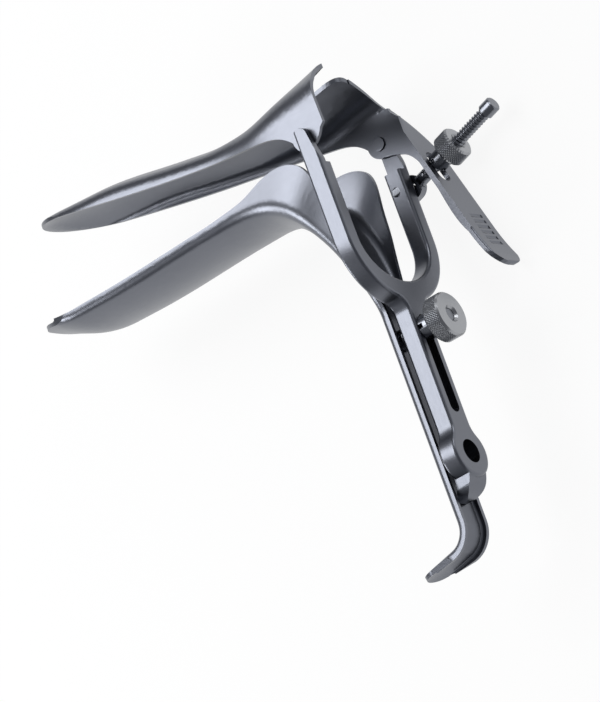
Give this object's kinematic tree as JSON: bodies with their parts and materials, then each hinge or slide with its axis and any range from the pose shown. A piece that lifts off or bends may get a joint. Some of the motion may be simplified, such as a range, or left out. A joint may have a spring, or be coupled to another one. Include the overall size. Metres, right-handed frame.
{
  "type": "bivalve speculum",
  "caption": "Stainless bivalve speculum: duck-bill blades on a hinged collar, slotted yoke on a channel handle, thumb lever with threaded rod and knurled nuts.",
  "frame": {"origin": "centre of the hole in the yoke's stem head, half way through it", "axes": "lying on its right side: +X back towards the operator along the hole, +Y up the stem towards the hinge, +Z to the operator's left"},
  "size_m": [0.1677, 0.1658, 0.0569],
  "materials": {
    "blade_steel": "satin polished stainless sheet",
    "yoke_steel": "satin ground stainless forging",
    "turned_steel": "turned stainless",
    "knurled_steel": "diamond knurled stainless"
  },
  "bodies": {
    "lower": {"lower_blade": "blade_steel", "stem_stud": "turned_steel", "stud_rivet": "turned_steel"},
    "yoke": {"yoke": "yoke_steel", "rod_hinge_pin": "turned_steel"},
    "upper": {"upper_blade": "blade_steel"},
    "rod": {"adjusting_rod": "turned_steel", "rod_end_cap": "turned_steel"},
    "lever_collar": {"lever_collar": "turned_steel"},
    "adjusting_nut": {"adjusting_nut": "knurled_steel"},
    "clamp_collar": {"clamp_collar": "turned_steel"},
    "clamp_nut": {"clamp_nut": "knurled_steel"}
  },
  "joints": [
    {"name": "yoke_slide", "type": "slide", "parent": "lower", "child": "yoke", "axis": [0, 1, 0], "range_m": [0, 0.025]},
    {"name": "blade_open", "type": "hinge", "parent": "yoke", "child": "upper", "pos_m": [-0.0012, 0.109, 0], "axis": [0, 0, -1], "range_deg": [-15, 18]},
    {"name": "rod_swing", "type": "hinge", "parent": "yoke", "child": "rod", "pos_m": [-0.0007, 0.0918, -0.0251], "axis": [0, 0, -1], "range_deg": [-16, 19]},
    {"name": "lever_collar_travel", "type": "slide", "parent": "rod", "child": "lever_collar", "axis": [0.9613, 0.2756, 0], "range_m": [-0.00544, 0.00456]},
    {"name": "adjusting_nut_spin", "type": "hinge", "parent": "lever_collar", "child": "adjusting_nut", "pos_m": [0.02026, 0.09781, -0.0251], "axis": [0.9613, 0.2756, 0], "range_deg": [-1800, 1350]},
    {"name": "clamp_nut_spin", "type": "hinge", "parent": "clamp_collar", "child": "clamp_nut", "pos_m": [0.011, 0.042, 0], "axis": [1, 0, 0], "range_deg": [-10, 550]},
    {"name": "clamp_collar_travel", "type": "slide", "parent": "lower", "child": "clamp_collar", "axis": [1, 0, 0], "range_m": [0, 0.0015]}
  ],
  "couplings": [
    {"joint": "rod_swing", "follows": "blade_open", "ratio": 1},
    {"joint": "lever_collar_travel", "follows": "blade_open", "m_per_rad": -0.016671},
    {"joint": "adjusting_nut_spin", "follows": "blade_open", "ratio": -87.292},
    {"joint": "clamp_nut_spin", "follows": "clamp_collar_travel", "rad_per_m": 6283.2}
  ]
}
